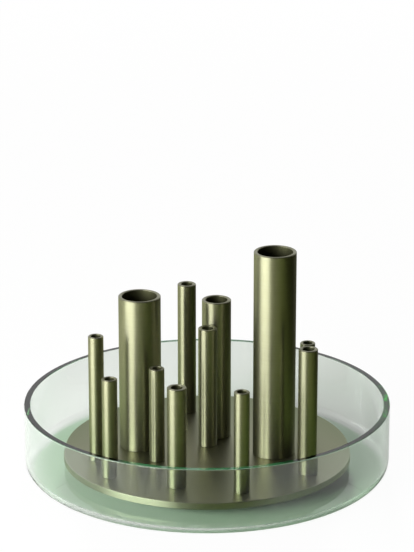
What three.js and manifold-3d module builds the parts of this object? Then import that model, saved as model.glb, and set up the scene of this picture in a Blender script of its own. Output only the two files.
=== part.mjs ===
// Low flower vase: a shallow round glass bowl, and in it an insert of twelve
// open tubes that stand on a round plate. The plate stands on four soft feet,
// so water from the bowl reaches the stems through the tubes' open lower ends.
// Millimetres, +Z up. The origin is the centre of the bowl's underside, and
// the front of the vase looks along -Y.

import * as THREE from 'three';
import { mergeVertices, toCreasedNormals } from 'three/addons/utils/BufferGeometryUtils.js';
import Module from 'manifold-3d';

// Glass bowl
const BOWL_DIAMETER = 300;
const BOWL_HEIGHT = 56;
const BOWL_WALL = 5;
const BOWL_FLOOR = 5;
const BOWL_CORNER_RADIUS = 9.5;
const BOWL_FILLET_RADIUS = 6;
const BOWL_RIM_CHAMFER = 0.6;

// Base plate of the insert
const PLATE_EDGE_GAP = 28;
const PLATE_THICKNESS = 5.5;
const PLATE_CHAMFER = 0.4;

// Soft feet under the plate
const FOOT_DIAMETER = 12;
const FOOT_HEIGHT = 5;
const FOOT_CHAMFER = 0.8;
const FOOT_STEM_DIAMETER = 5;
const FOOT_STEM_LENGTH = 3;
const FOOT_FROM_EDGE = 27;

// Stock sizes of tube, and how finely each is divided
const LARGE_TUBE = { diameter: 34.5, wall: 3, sides: 48 };
const WIDE_TUBE = { diameter: 24, wall: 3, sides: 40 };
const MEDIUM_TUBE = { diameter: 15.5, wall: 3.1, sides: 32 };
const SMALL_TUBE = { diameter: 12.5, wall: 2.4, sides: 24 };
const TUBE_CHAMFER = 0.5;
const TUBE_FOOT_CHAMFER = 0.3;

// Clearance all round between a spigot or foot stem and its hole in the plate
const SEAT_CLEARANCE = 0.3;

// Each tube's height above the plate, and its place on it: an angle from +X,
// and a distance out from the plate's centre or in from its edge
const LARGE_TALL = { size: LARGE_TUBE, height: 173, angle: 347, fromCentre: 56.2 };
const LARGE_SHORT = { size: LARGE_TUBE, height: 130, angle: 176.4, fromCentre: 55 };
const WIDE = { size: WIDE_TUBE, height: 119, angle: 73.5, fromCentre: 27.5 };
const MEDIUM_CENTRE = { size: MEDIUM_TUBE, height: 102, angle: 83, fromCentre: 4.2 };
const MEDIUM_BACK = { size: MEDIUM_TUBE, height: 114.5, angle: 102, fromEdge: 35 };
const MEDIUM_RIGHT = { size: MEDIUM_TUBE, height: 103.5, angle: 328.2, fromEdge: 22 };
const MEDIUM_FRONT_LEFT = { size: MEDIUM_TUBE, height: 81.5, angle: 253, fromEdge: 35 };
const SMALL_INNER_LEFT = { size: SMALL_TUBE, height: 79.5, angle: 216, fromCentre: 50.2 };
const SMALL_FAR_LEFT = { size: SMALL_TUBE, height: 103.5, angle: 192.3, fromEdge: 25 };
const SMALL_LEFT = { size: SMALL_TUBE, height: 81, angle: 216.7, fromEdge: 20 };
const SMALL_FRONT_RIGHT = { size: SMALL_TUBE, height: 82.5, angle: 286.8, fromEdge: 22.3 };
const SMALL_RIGHT_REAR = { size: SMALL_TUBE, height: 81, angle: 18, fromEdge: 29.5 };

const TUBES = {
  large_tube_tall: LARGE_TALL,
  large_tube_short: LARGE_SHORT,
  wide_tube: WIDE,
  medium_tube_centre: MEDIUM_CENTRE,
  medium_tube_back: MEDIUM_BACK,
  medium_tube_right: MEDIUM_RIGHT,
  medium_tube_front_left: MEDIUM_FRONT_LEFT,
  small_tube_inner_left: SMALL_INNER_LEFT,
  small_tube_far_left: SMALL_FAR_LEFT,
  small_tube_left: SMALL_LEFT,
  small_tube_front_right: SMALL_FRONT_RIGHT,
  small_tube_right_rear: SMALL_RIGHT_REAR,
};

// The feet's places round the plate, as angles from +X
const FEET = {
  foot_right: { angle: 0, fromEdge: FOOT_FROM_EDGE },
  foot_back: { angle: 90, fromEdge: FOOT_FROM_EDGE },
  foot_left: { angle: 180, fromEdge: FOOT_FROM_EDGE },
  foot_front: { angle: 270, fromEdge: FOOT_FROM_EDGE },
};

// How finely the round shapes are divided
const BOWL_SIDES = 96;
const PLATE_SIDES = 96;
const FOOT_SIDES = 24;
const ARC_STEPS = 5;
const CREASE_ANGLE = 30;

const plateRadius = BOWL_DIAMETER / 2 - BOWL_WALL - PLATE_EDGE_GAP;

const wasm = await Module();
wasm.setup();

const glass = new THREE.MeshStandardMaterial({
  color: 0xcfe4d8, roughness: 0.05, metalness: 0, transparent: true, opacity: 0.35,
});
const aluminium = new THREE.MeshStandardMaterial({ color: 0x9a9c6c, roughness: 0.32, metalness: 1 });
const silicone = new THREE.MeshStandardMaterial({ color: 0xd8dbd2, roughness: 0.6, metalness: 0 });

// Points of a round corner, from one angle to another, in degrees from +R
function arc(centreR, centreZ, radius, from, to) {
  const points = [];
  for (let step = 0; step <= ARC_STEPS; step++) {
    const angle = THREE.MathUtils.degToRad(from + ((to - from) * step) / ARC_STEPS);
    points.push([centreR + radius * Math.cos(angle), centreZ + radius * Math.sin(angle)]);
  }
  return points;
}

// A solid of revolution about +Z. The profile is a list of radius and height,
// which runs outwards along the underside and up the outside.
function turned(profile, sides) {
  const points = profile.map(([radius, height]) => new THREE.Vector2(radius, height));
  return new THREE.LatheGeometry(points, sides).rotateX(Math.PI / 2);
}

function toManifold(geometry) {
  const bare = new THREE.BufferGeometry();
  bare.setAttribute('position', geometry.getAttribute('position'));
  bare.setIndex(geometry.getIndex());
  const merged = mergeVertices(bare);
  const corners = Array.from(merged.getIndex().array);
  const triangles = [];
  for (let i = 0; i < corners.length; i += 3) {
    const [a, b, c] = corners.slice(i, i + 3);
    if (a !== b && b !== c && c !== a) {
      triangles.push(a, b, c);
    }
  }
  return new wasm.Manifold(new wasm.Mesh({
    numProp: 3,
    vertProperties: new Float32Array(merged.getAttribute('position').array),
    triVerts: new Uint32Array(triangles),
  }));
}

function toGeometry(manifold) {
  const mesh = manifold.getMesh();
  const geometry = new THREE.BufferGeometry();
  geometry.setAttribute('position', new THREE.BufferAttribute(mesh.vertProperties, 3));
  geometry.setIndex(new THREE.BufferAttribute(mesh.triVerts, 1));
  return toCreasedNormals(geometry, THREE.MathUtils.degToRad(CREASE_ANGLE));
}

function part(name, geometry, material) {
  const mesh = new THREE.Mesh(geometry, material.clone());
  mesh.name = name;
  return mesh;
}

// Where a tube or foot stands on the plate
function placeOnPlate(piece) {
  const radius = piece.fromEdge === undefined ? piece.fromCentre : plateRadius - piece.fromEdge;
  const angle = THREE.MathUtils.degToRad(piece.angle);
  return [radius * Math.cos(angle), radius * Math.sin(angle)];
}

// The tube's lower end is turned down to half its wall, to sit in the plate
function spigotRadius(size) {
  return (size.diameter - size.wall) / 2;
}

function bowlGeometry() {
  const outer = BOWL_DIAMETER / 2;
  const inner = outer - BOWL_WALL;
  const profile = [
    [0, 0],
    ...arc(outer - BOWL_CORNER_RADIUS, BOWL_CORNER_RADIUS, BOWL_CORNER_RADIUS, -90, 0),
    [outer, BOWL_HEIGHT - BOWL_RIM_CHAMFER],
    [outer - BOWL_RIM_CHAMFER, BOWL_HEIGHT],
    [inner + BOWL_RIM_CHAMFER, BOWL_HEIGHT],
    [inner, BOWL_HEIGHT - BOWL_RIM_CHAMFER],
    ...arc(inner - BOWL_FILLET_RADIUS, BOWL_FLOOR + BOWL_FILLET_RADIUS, BOWL_FILLET_RADIUS, 0, -90),
    [0, BOWL_FLOOR],
  ];
  return turned(profile, BOWL_SIDES);
}

// A plain round cutter between two heights
function drill(radius, bottom, top, sides) {
  return toManifold(turned([[0, bottom], [radius, bottom], [radius, top], [0, top]], sides));
}

// The plate's underside is at height 0
function plateGeometry() {
  const overrun = 1;
  const faceRadius = plateRadius - PLATE_CHAMFER;
  let plate = toManifold(turned([
    [0, 0],
    [faceRadius, 0],
    [plateRadius, PLATE_CHAMFER],
    [plateRadius, PLATE_THICKNESS - PLATE_CHAMFER],
    [faceRadius, PLATE_THICKNESS],
    [0, PLATE_THICKNESS],
  ], PLATE_SIDES));
  for (const tube of Object.values(TUBES)) {
    const [x, y] = placeOnPlate(tube);
    const radius = spigotRadius(tube.size) + SEAT_CLEARANCE;
    const hole = drill(radius, -overrun, PLATE_THICKNESS + overrun, tube.size.sides);
    plate = plate.subtract(hole.translate([x, y, 0]));
  }
  for (const foot of Object.values(FEET)) {
    const [x, y] = placeOnPlate(foot);
    const radius = FOOT_STEM_DIAMETER / 2 + SEAT_CLEARANCE;
    const socket = drill(radius, -overrun, FOOT_STEM_LENGTH + SEAT_CLEARANCE, FOOT_SIDES);
    plate = plate.subtract(socket.translate([x, y, 0]));
  }
  return toGeometry(plate);
}

// The shoulder that rests on the plate is at height 0
function tubeGeometry(size, height) {
  const outer = size.diameter / 2;
  const bore = outer - size.wall;
  const spigot = spigotRadius(size);
  return turned([
    [bore, -PLATE_THICKNESS],
    [spigot, -PLATE_THICKNESS],
    [spigot, 0],
    [outer - TUBE_FOOT_CHAMFER, 0],
    [outer, TUBE_FOOT_CHAMFER],
    [outer, height - TUBE_CHAMFER],
    [outer - TUBE_CHAMFER, height],
    [bore + TUBE_CHAMFER, height],
    [bore, height - TUBE_CHAMFER],
    [bore, -PLATE_THICKNESS],
  ], size.sides);
}

// The sole is at height 0, and the stem pushes up into the plate
function footGeometry() {
  const pad = FOOT_DIAMETER / 2;
  const stem = FOOT_STEM_DIAMETER / 2;
  return turned([
    [0, 0],
    [pad - FOOT_CHAMFER, 0],
    [pad, FOOT_CHAMFER],
    [pad, FOOT_HEIGHT],
    [stem, FOOT_HEIGHT],
    [stem, FOOT_HEIGHT + FOOT_STEM_LENGTH],
    [0, FOOT_HEIGHT + FOOT_STEM_LENGTH],
  ], FOOT_SIDES);
}

const vase = new THREE.Group();
vase.add(part('glass_bowl', bowlGeometry(), glass));

// The insert stands on the bowl's floor
const insert = new THREE.Group();
insert.position.z = BOWL_FLOOR;
vase.add(insert);

const plate = part('base_plate', plateGeometry(), aluminium);
plate.position.z = FOOT_HEIGHT;
insert.add(plate);

for (const [name, tube] of Object.entries(TUBES)) {
  const mesh = part(name, tubeGeometry(tube.size, tube.height), aluminium);
  mesh.position.set(...placeOnPlate(tube), FOOT_HEIGHT + PLATE_THICKNESS);
  insert.add(mesh);
}

for (const [name, foot] of Object.entries(FEET)) {
  const mesh = part(name, footGeometry(), silicone);
  mesh.position.set(...placeOnPlate(foot), 0);
  insert.add(mesh);
}

export default vase;
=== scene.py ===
# Low flower vase: a shallow bowl of pale green glass, and in it an insert of twelve
# open tubes of olive anodised aluminium, which stand on a round plate with soft feet.
# Metres, +Z up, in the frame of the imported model. The front looks along -Y.

import math

import bmesh
import bpy
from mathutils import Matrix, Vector


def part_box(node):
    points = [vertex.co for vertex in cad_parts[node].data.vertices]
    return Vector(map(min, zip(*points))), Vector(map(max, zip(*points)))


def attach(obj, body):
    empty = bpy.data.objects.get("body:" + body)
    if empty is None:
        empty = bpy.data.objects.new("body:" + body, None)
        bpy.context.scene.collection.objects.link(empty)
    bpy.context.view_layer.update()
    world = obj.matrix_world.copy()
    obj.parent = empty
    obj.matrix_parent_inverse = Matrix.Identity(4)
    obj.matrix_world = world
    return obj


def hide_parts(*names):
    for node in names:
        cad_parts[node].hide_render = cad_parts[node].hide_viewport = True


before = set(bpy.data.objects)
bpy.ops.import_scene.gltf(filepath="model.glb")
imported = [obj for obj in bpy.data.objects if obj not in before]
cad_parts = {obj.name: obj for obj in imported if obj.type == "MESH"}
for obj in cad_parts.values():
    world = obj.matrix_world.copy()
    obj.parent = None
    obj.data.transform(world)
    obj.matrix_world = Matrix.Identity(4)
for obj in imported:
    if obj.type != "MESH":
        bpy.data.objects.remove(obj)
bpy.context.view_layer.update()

# Camera
# It looks down on the vase from the front, well above its rim, and its long lens keeps the
# ellipses of rim and plate alike. Lens in millimetres, pitch in degrees below level.
CAMERA_LENS = 174.2
CAMERA_DISTANCE = 2.0505
CAMERA_HEIGHT = 0.8452
CAMERA_PITCH = 18.389
LEVEL_VIEW = 90

camera = bpy.data.objects.new("camera", bpy.data.cameras.new("camera"))
camera.data.lens = CAMERA_LENS
camera.location = (0, -CAMERA_DISTANCE, CAMERA_HEIGHT)
camera.rotation_euler = (math.radians(LEVEL_VIEW - CAMERA_PITCH), 0, 0)
bpy.context.scene.collection.objects.link(camera)
bpy.context.scene.camera = camera

# Glass bowl
# A shallow round bowl of pale green soda-lime glass, 5 mm thick and thinner in its round
# lower corner. It is blown in a mould and cut level, and its rim is ground and polished.
GLASS_THICKNESS = 0.005
CORNER_THICKNESS = 0.0031
BOWL_CORNER = 0.0095
LEVEL_FLOOR_RADIUS = 0.105
RIM_CHAMFER = 0.0004
RIM_CHAMFER_ROUND = 0.00015
RIM_OUTER_ROUND = 0.0008
BOWL_SIDES = 512
BOWL_ROUND_STEPS = 16
HOLDING_DISTANCE = 0.5
SHARP_EDGE_ANGLE = 30

bowl_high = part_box("glass_bowl")[1]
bowl_radius = bowl_high.x
inner_radius = bowl_radius - GLASS_THICKNESS
rim = bowl_high.z


def rounded(corners, steps):
    """A closed outline with round corners, each corner given as its distance from the axis,
    its height and the radius of its round. Half a radius beside each round, one more point
    holds the straight run straight, so that light falls evenly along it."""
    outline = []
    befores = corners[-1:] + corners[:-1]
    afters = corners[1:] + corners[:1]
    for before, corner, after in zip(befores, corners, afters):
        place = Vector(corner[:2])
        radius = corner[2]
        if radius == 0:
            outline.append(place)
            continue
        backward = (Vector(before[:2]) - place).normalized()
        forward = (Vector(after[:2]) - place).normalized()
        half_angle = backward.angle(forward) / 2
        run = radius / math.tan(half_angle)
        centre = place + (backward + forward).normalized() * radius / math.sin(half_angle)
        first = place + backward * run
        last = place + forward * run
        outline.append(first + backward * radius * HOLDING_DISTANCE)
        for step in range(steps + 1):
            spoke = (first - centre).slerp(last - centre, step / steps)
            outline.append(centre + spoke.normalized() * radius)
        outline.append(last + forward * radius * HOLDING_DISTANCE)
    return outline


def add_ring(form, radius, height, sides, place=(0, 0)):
    """A circle of points about a vertical axis, or one point where it has no radius."""
    if radius == 0:
        return [form.verts.new((*place, height))]
    ring = []
    for side in range(sides):
        turn = math.tau * side / sides
        x = place[0] + radius * math.cos(turn)
        y = place[1] + radius * math.sin(turn)
        ring.append(form.verts.new((x, y, height)))
    return ring


def add_band(form, first, second):
    """The faces between two rings. They look outwards where the outline goes up."""
    sides = max(len(first), len(second))
    for side in range(sides):
        following = (side + 1) % sides
        corners = [first[side % len(first)], first[following % len(first)],
                   second[following % len(second)], second[side % len(second)]]
        form.faces.new(list(dict.fromkeys(corners)))


def turned(outline, sides, place=(0, 0)):
    """A solid of revolution about a vertical axis."""
    form = bmesh.new()
    rings = [add_ring(form, radius, height, sides, place) for radius, height in outline]
    for first, second in zip(rings, rings[1:] + rings[:1]):
        if len(first) > 1 or len(second) > 1:
            add_band(form, first, second)
    return form


def add_piece(form, name, materials, body):
    """Puts a finished form into the scene, in place of the CAD node of that name."""
    mesh = bpy.data.meshes.new(name + "_mesh")
    form.to_mesh(mesh)
    form.free()
    mesh.shade_smooth()
    mesh.set_sharp_from_angle(angle=math.radians(SHARP_EDGE_ANGLE))
    for material in materials:
        mesh.materials.append(material)
    piece = bpy.data.objects.new(name + "_form", mesh)
    bpy.context.scene.collection.objects.link(piece)
    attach(piece, body)
    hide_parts(name)


def linear(colour):
    """An sRGB hex colour as linear red, green, blue and alpha, by the sRGB standard's curve."""
    shares = [int(colour[place:place + 2], 16) / 255 for place in (1, 3, 5)]
    lights = [share / 12.92 if share <= 0.04045 else ((share + 0.055) / 1.055) ** 2.4
              for share in shares]
    return lights + [1]


def add_node(tree, kind, values=(), links=(), **settings):
    """Adds a node with its settings, the values of its sockets and what feeds them. A socket
    goes by its name or, as the two of a Math node do, by its number."""
    node = tree.nodes.new(kind)
    for name, value in settings.items():
        setattr(node, name, value)
    for socket, value in dict(values).items():
        node.inputs[socket].default_value = value
    for socket, source in dict(links).items():
        tree.links.new(source, node.inputs[socket])
    return node


def bare_material(name):
    """A material whose node tree is still empty, and that tree."""
    material = bpy.data.materials.new(name)
    material.use_nodes = True
    material.node_tree.nodes.clear()
    return material, material.node_tree


# Soda-lime glass with a little iron in it: clear straight through, and deep green where
# the eye looks along the wall, as at the rim. The mould leaves it faintly wavy. In shadows
# and in satin metal it is a plain tinted pane. Its underside lies on the table, and light
# that was mirrored less than twice on its way passes it unbent. Rays from satin metal are
# glossy without being singular, and rays from the glass are singular.
GLASS_IOR = 1.52
GLASS_CLEAR = "#ffffff"
GLASS_GREEN = "#6cd289"
GLASS_DENSITY = 20
GLASS_SHADOW = "#f5f9f4"
WAVE_LENGTH = 0.03
WAVE_HEIGHT = 0.000006
WAVE_DETAIL = 1
UNDERSIDE_HEIGHT = 0.00001
FEW_TURNS = 2


def soda_lime_glass():
    material, tree = bare_material("soda_lime_glass")
    place = add_node(tree, "ShaderNodeTexCoord")
    waves = add_node(tree, "ShaderNodeTexNoise",
                     {"Scale": 1 / WAVE_LENGTH, "Detail": WAVE_DETAIL},
                     {"Vector": place.outputs["Object"]})
    surface = add_node(tree, "ShaderNodeBump", {"Strength": 1, "Distance": WAVE_HEIGHT},
                       {"Height": waves.outputs["Fac"]})
    glass = add_node(tree, "ShaderNodeBsdfPrincipled",
                     {"Base Color": linear(GLASS_CLEAR), "Roughness": 0, "IOR": GLASS_IOR,
                      "Transmission Weight": 1},
                     {"Normal": surface.outputs["Normal"]})
    pane = add_node(tree, "ShaderNodeBsdfTransparent", {"Color": linear(GLASS_SHADOW)})
    path = add_node(tree, "ShaderNodeLightPath")
    in_metal = add_node(tree, "ShaderNodeMath",
                        links={0: path.outputs["Is Glossy Ray"],
                               1: path.outputs["Is Singular Ray"]},
                        operation="SUBTRACT", use_clamp=True)
    height = add_node(tree, "ShaderNodeSeparateXYZ", links={"Vector": place.outputs["Object"]})
    underside = add_node(tree, "ShaderNodeMath", {1: UNDERSIDE_HEIGHT},
                         {0: height.outputs["Z"]}, operation="LESS_THAN")
    early = add_node(tree, "ShaderNodeMath", {1: FEW_TURNS},
                     {0: path.outputs["Glossy Depth"]}, operation="LESS_THAN")
    resting = add_node(tree, "ShaderNodeMath",
                       links={0: underside.outputs[0], 1: early.outputs[0]},
                       operation="MULTIPLY")
    unbent = add_node(tree, "ShaderNodeMath",
                      links={0: in_metal.outputs[0], 1: resting.outputs[0]},
                      operation="MAXIMUM")
    straight = add_node(tree, "ShaderNodeMath",
                        links={0: path.outputs["Is Shadow Ray"], 1: unbent.outputs[0]},
                        operation="MAXIMUM")
    either = add_node(tree, "ShaderNodeMixShader",
                      links={0: straight.outputs[0], 1: glass.outputs[0], 2: pane.outputs[0]})
    tint = add_node(tree, "ShaderNodeVolumeAbsorption",
                    {"Color": linear(GLASS_GREEN), "Density": GLASS_DENSITY})
    add_node(tree, "ShaderNodeOutputMaterial",
             links={"Surface": either.outputs[0], "Volume": tint.outputs[0]})
    return material


bowl_outline = rounded([
    (0, 0, 0),
    (bowl_radius, 0, BOWL_CORNER),
    (bowl_radius, rim, RIM_OUTER_ROUND),
    (inner_radius + RIM_CHAMFER, rim, RIM_CHAMFER_ROUND),
    (inner_radius, rim - RIM_CHAMFER, RIM_CHAMFER_ROUND),
    (bowl_radius - CORNER_THICKNESS, CORNER_THICKNESS, BOWL_CORNER - CORNER_THICKNESS),
    (LEVEL_FLOOR_RADIUS, GLASS_THICKNESS, 0),
    (0, GLASS_THICKNESS, 0),
], BOWL_ROUND_STEPS)
add_piece(turned(bowl_outline, BOWL_SIDES), "glass_bowl", [soda_lime_glass()], "bowl")

# Tubes
# Twelve open tubes of olive anodised aluminium in four stock sizes, turned, cut to length
# and chamfered at the mouth. The lower end is turned down to half its wall, and this
# spigot is pressed into the plate. The walls are listed by outside diameter.
TUBE_WALLS = {0.0345: 0.003, 0.024: 0.003, 0.0155: 0.0031, 0.0125: 0.0024}
TUBE_CHAMFER = 0.0005
TUBE_FOOT_CHAMFER = 0.0003
TUBE_EDGE_ROUND = 0.0001
TUBE_SIDES = 96
TUBE_ROUND_STEPS = 3
BORE_MARGIN = TUBE_CHAMFER / 4

# Satin anodised aluminium: a coloured metal under a thin hard layer of oxide. Its turned
# lines stretch the light into long soft-edged bands with deep olive between them. The real
# lines are about 0.1 mm apart and the grain is finer. Both are drawn coarser, to show.
OLIVE = "#95957e"
OLIVE_DEEP = "#8d8d74"
# The bore's darker olive is painted shade for the little light that reaches inside the tubes. Its
# greater roughness is real.
SHADED_BORE_OLIVE = "#56573f"
SATIN_ROUGHNESS = 0.42
BORE_ROUGHNESS = 0.6
ROUGHNESS_SPREAD = 0.01
TUBE_LIGHT_STRETCH = 0.8
ALONG_THE_AXIS = 0.25
TURNED_LINE_SPACING = 0.0012
TURNED_LINE_DEPTH = 0.00002
TURNED_LINE_RELIEF = 0.02
LINES_ROUND_THE_TUBE = (0.02, 0.02, 1)
EVEN_GRAIN = (1, 1, 1)
GRAIN_SIZE = 0.0008
METAL_DETAIL = 2

# The sockets of a Mix node that hold colours.
FIRST_COLOUR = 6
SECOND_COLOUR = 7
MIXED_COLOUR = 2


def olive_anodised_aluminium(name, dyes, lines_run, roughness, light_stretch):
    material, tree = bare_material(name)
    place = add_node(tree, "ShaderNodeTexCoord")
    along_lines = add_node(tree, "ShaderNodeMapping", {"Scale": lines_run},
                           {"Vector": place.outputs["Object"]})
    lines = add_node(tree, "ShaderNodeTexNoise",
                     {"Scale": 1 / TURNED_LINE_SPACING, "Detail": METAL_DETAIL},
                     {"Vector": along_lines.outputs["Vector"]})
    grain = add_node(tree, "ShaderNodeTexNoise",
                     {"Scale": 1 / GRAIN_SIZE, "Detail": METAL_DETAIL},
                     {"Vector": place.outputs["Object"]})
    dye = add_node(tree, "ShaderNodeMix",
                   {FIRST_COLOUR: linear(dyes[0]), SECOND_COLOUR: linear(dyes[1])},
                   {0: lines.outputs["Fac"]}, data_type="RGBA")
    gloss = add_node(tree, "ShaderNodeMapRange",
                     {"To Min": roughness - ROUGHNESS_SPREAD,
                      "To Max": roughness + ROUGHNESS_SPREAD},
                     {"Value": grain.outputs["Fac"]})
    surface = add_node(tree, "ShaderNodeBump",
                       {"Strength": TURNED_LINE_RELIEF, "Distance": TURNED_LINE_DEPTH},
                       {"Height": lines.outputs["Fac"]})
    round_the_axis = add_node(tree, "ShaderNodeTangent", direction_type="RADIAL", axis="Z")
    metal = add_node(tree, "ShaderNodeBsdfPrincipled",
                     {"Metallic": 1, "Anisotropic": light_stretch,
                      "Anisotropic Rotation": ALONG_THE_AXIS},
                     {"Base Color": dye.outputs[MIXED_COLOUR],
                      "Roughness": gloss.outputs["Result"],
                      "Normal": surface.outputs["Normal"],
                      "Tangent": round_the_axis.outputs["Tangent"]})
    add_node(tree, "ShaderNodeOutputMaterial", links={"Surface": metal.outputs[0]})
    return material


tube_metal = olive_anodised_aluminium("olive_anodised_aluminium_tube", (OLIVE, OLIVE_DEEP),
                                      LINES_ROUND_THE_TUBE, SATIN_ROUGHNESS, TUBE_LIGHT_STRETCH)
# The bores take the darker olive of painted shade.
bore_metal_painted_shade = olive_anodised_aluminium("olive_anodised_aluminium_bore_painted_shade", (SHADED_BORE_OLIVE, SHADED_BORE_OLIVE),
                                      EVEN_GRAIN, BORE_ROUGHNESS, 0)
plate_low, plate_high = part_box("base_plate")
tube_names = [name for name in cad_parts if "tube" in name]
tube_spigots = []

for name in tube_names:
    low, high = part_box(name)
    place = ((low.x + high.x) / 2, (low.y + high.y) / 2)
    radius = (high.x - low.x) / 2
    wall = TUBE_WALLS[min(TUBE_WALLS, key=lambda diameter: abs(diameter - 2 * radius))]
    bore = radius - wall
    spigot = radius - wall / 2
    tube_outline = rounded([
        (bore, low.z, 0),
        (spigot, low.z, 0),
        (spigot, plate_high.z, 0),
        (radius - TUBE_FOOT_CHAMFER, plate_high.z, 0),
        (radius, plate_high.z + TUBE_FOOT_CHAMFER, TUBE_EDGE_ROUND),
        (radius, high.z - TUBE_CHAMFER, TUBE_EDGE_ROUND),
        (radius - TUBE_CHAMFER, high.z, TUBE_EDGE_ROUND),
        (bore + TUBE_CHAMFER, high.z, TUBE_EDGE_ROUND),
        (bore, high.z - TUBE_CHAMFER, TUBE_EDGE_ROUND),
    ], TUBE_ROUND_STEPS)
    form = turned(tube_outline, TUBE_SIDES, place)
    for face in form.faces:
        middle = face.calc_center_median()
        face.material_index = int(math.dist(middle[:2], place) < bore + BORE_MARGIN)
    add_piece(form, name, [tube_metal, bore_metal_painted_shade], "insert")
    tube_spigots.append((place, spigot))

# Feet
# Four soft pads of silicone rubber, which keep the plate off the glass so that water
# flows in under it. Each has a stem that is pushed into a blind hole above it.
FOOT_EDGE_ROUND = 0.0008
STEM_RADIUS = 0.0025
STEM_LENGTH = 0.003
FOOT_SIDES = 48
FOOT_ROUND_STEPS = 8

# Milky silicone rubber, moulded: an off-white that light enters a little way, slightly
# cloudy, with a dull soft gloss.
SILICONE_MILK = "#dfe2da"
SILICONE_SHADE = "#cfd4c9"
SILICONE_IOR = 1.41
SILICONE_ROUGHNESS = 0.55
SILICONE_SCATTER = 0.3
SILICONE_SCATTER_DEPTH = 0.003
CLOUD_SIZE = 0.002
CLOUD_DETAIL = 3
CLOUD_RELIEF = 0.2
CLOUD_DEPTH = 0.00005


def milky_silicone():
    material, tree = bare_material("milky_silicone_rubber")
    place = add_node(tree, "ShaderNodeTexCoord")
    cloud = add_node(tree, "ShaderNodeTexNoise",
                     {"Scale": 1 / CLOUD_SIZE, "Detail": CLOUD_DETAIL},
                     {"Vector": place.outputs["Object"]})
    milk = add_node(tree, "ShaderNodeMix",
                    {FIRST_COLOUR: linear(SILICONE_MILK), SECOND_COLOUR: linear(SILICONE_SHADE)},
                    {0: cloud.outputs["Fac"]}, data_type="RGBA")
    surface = add_node(tree, "ShaderNodeBump", {"Strength": CLOUD_RELIEF, "Distance": CLOUD_DEPTH},
                       {"Height": cloud.outputs["Fac"]})
    rubber = add_node(tree, "ShaderNodeBsdfPrincipled",
                      {"Roughness": SILICONE_ROUGHNESS, "IOR": SILICONE_IOR,
                       "Subsurface Weight": SILICONE_SCATTER,
                       "Subsurface Scale": SILICONE_SCATTER_DEPTH},
                      {"Base Color": milk.outputs[MIXED_COLOUR],
                       "Normal": surface.outputs["Normal"]})
    add_node(tree, "ShaderNodeOutputMaterial", links={"Surface": rubber.outputs[0]})
    return material


silicone = milky_silicone()
foot_names = [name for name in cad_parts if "foot" in name]
foot_places = []

for name in foot_names:
    low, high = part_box(name)
    place = ((low.x + high.x) / 2, (low.y + high.y) / 2)
    radius = (high.x - low.x) / 2
    foot_outline = rounded([
        (0, low.z, 0),
        (radius, low.z, FOOT_EDGE_ROUND),
        (radius, plate_low.z, 0),
        (STEM_RADIUS, plate_low.z, 0),
        (STEM_RADIUS, plate_low.z + STEM_LENGTH, 0),
        (0, plate_low.z + STEM_LENGTH, 0),
    ], FOOT_ROUND_STEPS)
    add_piece(turned(foot_outline, FOOT_SIDES, place), name, [silicone], "insert")
    foot_places.append(place)

# Base plate
# A flat round plate of the same anodised aluminium, turned on a lathe, with its edges
# broken. It is drilled through for the tubes' spigots and has four blind holes below.
PLATE_CHAMFER = 0.0004
PLATE_EDGE_ROUND = 0.0001
PLATE_ROUND_STEPS = 3
PLATE_SIDES = 256
PLATE_FACE_MARGIN = 0.001
HOLE_SIDES = 64
SEAT_CLEARANCE = 0.0003


def drilled_plate():
    """The plate with its holes. Its edge takes the second of its two materials."""
    form = bmesh.new()
    radius = plate_high.x
    face_radius = radius - PLATE_FACE_MARGIN
    edge_outline = rounded([
        (face_radius, plate_low.z, 0),
        (radius - PLATE_CHAMFER, plate_low.z, PLATE_EDGE_ROUND),
        (radius, plate_low.z + PLATE_CHAMFER, PLATE_EDGE_ROUND),
        (radius, plate_high.z - PLATE_CHAMFER, PLATE_EDGE_ROUND),
        (radius - PLATE_CHAMFER, plate_high.z, PLATE_EDGE_ROUND),
        (face_radius, plate_high.z, 0),
    ], PLATE_ROUND_STEPS)
    rings = [add_ring(form, distance, height, PLATE_SIDES) for distance, height in edge_outline]
    for first, second in zip(rings, rings[1:]):
        add_band(form, first, second)
    for face in form.faces:
        face.material_index = 1
    underside = [rings[0]]
    top = [rings[-1]]
    for place, spigot in tube_spigots:
        upper = add_ring(form, spigot + SEAT_CLEARANCE, plate_high.z, HOLE_SIDES, place)
        lower = add_ring(form, spigot + SEAT_CLEARANCE, plate_low.z, HOLE_SIDES, place)
        add_band(form, upper, lower)
        top.append(upper)
        underside.append(lower)
    for place in foot_places:
        mouth = add_ring(form, STEM_RADIUS + SEAT_CLEARANCE, plate_low.z, HOLE_SIDES, place)
        end_height = plate_low.z + STEM_LENGTH + SEAT_CLEARANCE
        end = add_ring(form, STEM_RADIUS + SEAT_CLEARANCE, end_height, HOLE_SIDES, place)
        add_band(form, end, mouth)
        form.faces.new(end[::-1])
        underside.append(mouth)
    for face_rings, normal in ((top, (0, 0, 1)), (underside, (0, 0, -1))):
        edges = [form.edges.get((ring[side - 1], ring[side]))
                 for ring in face_rings for side in range(len(ring))]
        bmesh.ops.triangle_fill(form, use_beauty=True, edges=edges, normal=normal)
    return form


# The plate's faces have an even satin grain and mirror the tubes softly. Its turned edge
# carries one long band of light, and the edge's lighter olive is a painted highlight that
# brightens that band.
PAINTED_HIGHLIGHT_EDGE_OLIVE = "#a8a892"
PAINTED_HIGHLIGHT_EDGE_OLIVE_DEEP = "#9e9e88"
PLATE_ROUGHNESS = 0.38
EDGE_LIGHT_STRETCH = 0.9

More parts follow.
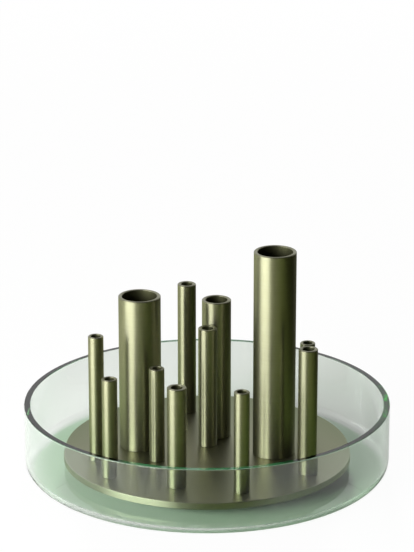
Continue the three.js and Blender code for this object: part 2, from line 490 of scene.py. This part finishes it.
plate_metal = olive_anodised_aluminium("olive_anodised_aluminium_plate", (OLIVE, OLIVE_DEEP),
                                       EVEN_GRAIN, PLATE_ROUGHNESS, 0)
edge_metal_painted_highlight = olive_anodised_aluminium("olive_anodised_aluminium_edge_painted_highlight",
                                      (PAINTED_HIGHLIGHT_EDGE_OLIVE, PAINTED_HIGHLIGHT_EDGE_OLIVE_DEEP),
                                      EVEN_GRAIN, SATIN_ROUGHNESS, EDGE_LIGHT_STRETCH)
add_piece(drilled_plate(), "base_plate", [plate_metal, edge_metal_painted_highlight], "insert")

# Floor
# A plain table of white paper that reaches past every view. It lies a hair below the
# glass, so that the two don't touch.
FLOOR_SIZE = 40
FLOOR_HEIGHT = -0.0002

form = bmesh.new()
bmesh.ops.create_grid(form, x_segments=1, y_segments=1, size=FLOOR_SIZE / 2)
floor_mesh = bpy.data.meshes.new("floor_mesh")
form.to_mesh(floor_mesh)
form.free()
floor = bpy.data.objects.new("floor", floor_mesh)
floor.location.z = FLOOR_HEIGHT
bpy.context.scene.collection.objects.link(floor)

# White matt paper. The camera sees it lifted almost to white, with a faint shadow of the
# vase left on it. Satin metal sees painted shade on it: a warm tone that darkens to the right,
# and mirror reflections see a painted shadow, dark in front of the vase. Light that was
# mirrored many times inside the glass sees it in a painted deep green, as if it had come a
# longer way along the wall.
PAPER_WHITE = "#f0f0ee"
PAINTED_RIM_GREEN = "#5c9a78"
PAINTED_SHADE_IN_FRONT = "#404038"
PAINTED_SHADE_FOR_METAL = [(0, "#e9ebd0"), (0.43, "#c0c88e"), (0.79, "#a2ae6a"), (0.9, "#404424")]
DIMMING_DIRECTION = (1, 0.5, 0)
DIMMING_REACH = 0.35
PAINTED_SHADE_PLACE = (0.02, -0.29, 0)
PAINTED_SHADE_REACH = 0.13
PAINTED_SHADE_CORE = 0.065
MANY_TURNS = 4
PAPER_LIFT = 0.95


def white_paper():
    material, tree = bare_material("white_paper")
    path = add_node(tree, "ShaderNodeLightPath")
    place = add_node(tree, "ShaderNodeTexCoord")
    in_metal = add_node(tree, "ShaderNodeMath",
                        links={0: path.outputs["Is Glossy Ray"],
                               1: path.outputs["Is Singular Ray"]},
                        operation="SUBTRACT", use_clamp=True)
    across = add_node(tree, "ShaderNodeVectorMath", {1: DIMMING_DIRECTION},
                      {0: place.outputs["Object"]}, operation="DOT_PRODUCT")
    dimming = add_node(tree, "ShaderNodeMapRange",
                       {"From Min": -DIMMING_REACH, "From Max": DIMMING_REACH},
                       {"Value": across.outputs["Value"]})
    # What satin metal sees: painted shade, a warm tone that darkens to the right.
    metal_painted_shade = add_node(tree, "ShaderNodeValToRGB", links={"Fac": dimming.outputs["Result"]})
    tones = metal_painted_shade.color_ramp.elements
    tones[0].color = linear(PAINTED_SHADE_FOR_METAL[0][1])
    tones[1].position = PAINTED_SHADE_FOR_METAL[-1][0]
    tones[1].color = linear(PAINTED_SHADE_FOR_METAL[-1][1])
    for position, colour in PAINTED_SHADE_FOR_METAL[1:-1]:
        tones.new(position).color = linear(colour)
    # A painted shadow in front of the vase, which mirror reflections see.
    away = add_node(tree, "ShaderNodeVectorMath", {1: PAINTED_SHADE_PLACE},
                    {0: place.outputs["Object"]}, operation="DISTANCE")
    front_painted_shade = add_node(tree, "ShaderNodeMapRange",
                        {"From Min": PAINTED_SHADE_REACH, "From Max": PAINTED_SHADE_CORE},
                        {"Value": away.outputs["Value"]})
    mirror_painted_shade = add_node(tree, "ShaderNodeMath",
                         links={0: path.outputs["Glossy Depth"], 1: front_painted_shade.outputs["Result"]},
                         operation="MINIMUM")
    # Painted green light for rays mirrored many times inside the glass.
    along_the_wall = add_node(tree, "ShaderNodeMath", {1: MANY_TURNS},
                              {0: path.outputs["Glossy Depth"]}, operation="GREATER_THAN")
    paper_tone = add_node(tree, "ShaderNodeMix",
                          {FIRST_COLOUR: linear(PAPER_WHITE),
                           SECOND_COLOUR: linear(PAINTED_RIM_GREEN)},
                          {0: along_the_wall.outputs[0]}, data_type="RGBA")
    tone_with_painted_shade = add_node(tree, "ShaderNodeMix", {SECOND_COLOUR: linear(PAINTED_SHADE_IN_FRONT)},
                          {0: mirror_painted_shade.outputs[0],
                           FIRST_COLOUR: paper_tone.outputs[MIXED_COLOUR]},
                          data_type="RGBA")
    tone = add_node(tree, "ShaderNodeMix",
                    links={0: in_metal.outputs[0],
                           FIRST_COLOUR: tone_with_painted_shade.outputs[MIXED_COLOUR],
                           SECOND_COLOUR: metal_painted_shade.outputs["Color"]},
                    data_type="RGBA")
    matt = add_node(tree, "ShaderNodeBsdfDiffuse", links={"Color": tone.outputs[MIXED_COLOUR]})
    white = add_node(tree, "ShaderNodeEmission", {"Strength": 1})
    lift = add_node(tree, "ShaderNodeMath", {1: PAPER_LIFT},
                    {0: path.outputs["Is Camera Ray"]}, operation="MULTIPLY")
    either = add_node(tree, "ShaderNodeMixShader",
                      links={0: lift.outputs[0], 1: matt.outputs[0], 2: white.outputs[0]})
    add_node(tree, "ShaderNodeOutputMaterial", links={"Surface": either.outputs[0]})
    return material


floor_mesh.materials.append(white_paper())

# Studio
# One large soft box to the left and a little in front, and a small far one low behind the
# vase. The far one lights only what is matt, and lays the vase's shadow to the front.
KEY_AZIMUTH = -54
KEY_ELEVATION = 20
KEY_DISTANCE = 1.1
KEY_SIZE = (1, 0.52)
KEY_RADIANCE = 13
BACK_AZIMUTH = 180
BACK_ELEVATION = 14
BACK_DISTANCE = 6
BACK_SIZE = (0.7, 0.7)
BACK_RADIANCE = 290


def add_soft_box(name, azimuth, elevation, distance, size, radiance):
    """A rectangular soft box that looks at the vase. The azimuth is counted from the
    viewer's side, and the power is that which gives its face the radiance."""
    turn = math.radians(azimuth)
    rise = math.radians(elevation)
    away = Vector((math.cos(rise) * math.sin(turn), -math.cos(rise) * math.cos(turn),
                   math.sin(rise)))
    lamp = bpy.data.lights.new(name, "AREA")
    lamp.shape = "RECTANGLE"
    lamp.size, lamp.size_y = size
    lamp.energy = radiance * size[0] * size[1] * math.pi
    box = bpy.data.objects.new(name, lamp)
    box.location = away * distance
    box.rotation_euler = away.to_track_quat("Z", "Y").to_euler()
    bpy.context.scene.collection.objects.link(box)
    return box


add_soft_box("key_soft_box", KEY_AZIMUTH, KEY_ELEVATION, KEY_DISTANCE, KEY_SIZE, KEY_RADIANCE)
back = add_soft_box("back_soft_box", BACK_AZIMUTH, BACK_ELEVATION, BACK_DISTANCE, BACK_SIZE,
                    BACK_RADIANCE)
back.visible_glossy = False
back.visible_transmission = False

# The room round the vase, in the pale grey that a background has of itself. Reflections
# see it bright behind the vase and to the left, and nearly dark in front. Light that comes
# straight through glass sees it bright all round, and matt surfaces get an even dim light
# from it. Past the table's edge the camera sees plain white.
ROOM_IN_FRONT = 0.03
ROOM_BRIGHT_SIDE = (-0.4, 1, 0)
FULLY_BRIGHT_FROM = 0.6
ROOM_STRENGTH = 0.335
PLAIN_WHITE = "#ffffff"

world = bpy.data.worlds.new("studio")
bpy.context.scene.world = world
world.use_nodes = True
tree = world.node_tree
tree.nodes.clear()
path = add_node(tree, "ShaderNodeLightPath")
through_glass = add_node(tree, "ShaderNodeMath",
                         links={0: path.outputs["Is Transmission Ray"],
                                1: path.outputs["Glossy Depth"]},
                         operation="SUBTRACT", use_clamp=True)
direction = add_node(tree, "ShaderNodeTexCoord")
side = add_node(tree, "ShaderNodeVectorMath", {1: ROOM_BRIGHT_SIDE},
                {0: direction.outputs["Generated"]}, operation="DOT_PRODUCT")
behind = add_node(tree, "ShaderNodeMapRange",
                  {"From Min": 0, "From Max": FULLY_BRIGHT_FROM,
                   "To Min": ROOM_IN_FRONT, "To Max": 1},
                  {"Value": side.outputs["Value"]})
brightness = add_node(tree, "ShaderNodeMath",
                      links={0: through_glass.outputs[0], 1: behind.outputs["Result"]},
                      operation="MAXIMUM")
mirrored = add_node(tree, "ShaderNodeBackground", links={"Strength": brightness.outputs[0]})
even = add_node(tree, "ShaderNodeBackground", {"Strength": ROOM_STRENGTH})
room = add_node(tree, "ShaderNodeMixShader",
                links={0: path.outputs["Is Diffuse Ray"], 1: mirrored.outputs[0],
                       2: even.outputs[0]})
white = add_node(tree, "ShaderNodeBackground", {"Color": linear(PLAIN_WHITE), "Strength": 1})
seen = add_node(tree, "ShaderNodeMixShader",
                links={0: path.outputs["Is Camera Ray"], 1: room.outputs[0], 2: white.outputs[0]})
add_node(tree, "ShaderNodeOutputWorld", links={"Surface": seen.outputs[0]})

# Light finds its way along the glass wall only after many turns. It is followed through
# at most eight mirror turns, because more give too strong a green in the rim.
MOST_TURNS = 24
MOST_MIRROR_TURNS = 8
MOST_GLASS_SURFACES = 16

bpy.context.scene.cycles.max_bounces = MOST_TURNS
bpy.context.scene.cycles.glossy_bounces = MOST_MIRROR_TURNS
bpy.context.scene.cycles.transmission_bounces = MOST_GLASS_SURFACES
bpy.context.scene.cycles.caustics_reflective = False
bpy.context.scene.cycles.caustics_refractive = False
bpy.context.scene.view_settings.view_transform = "Standard"
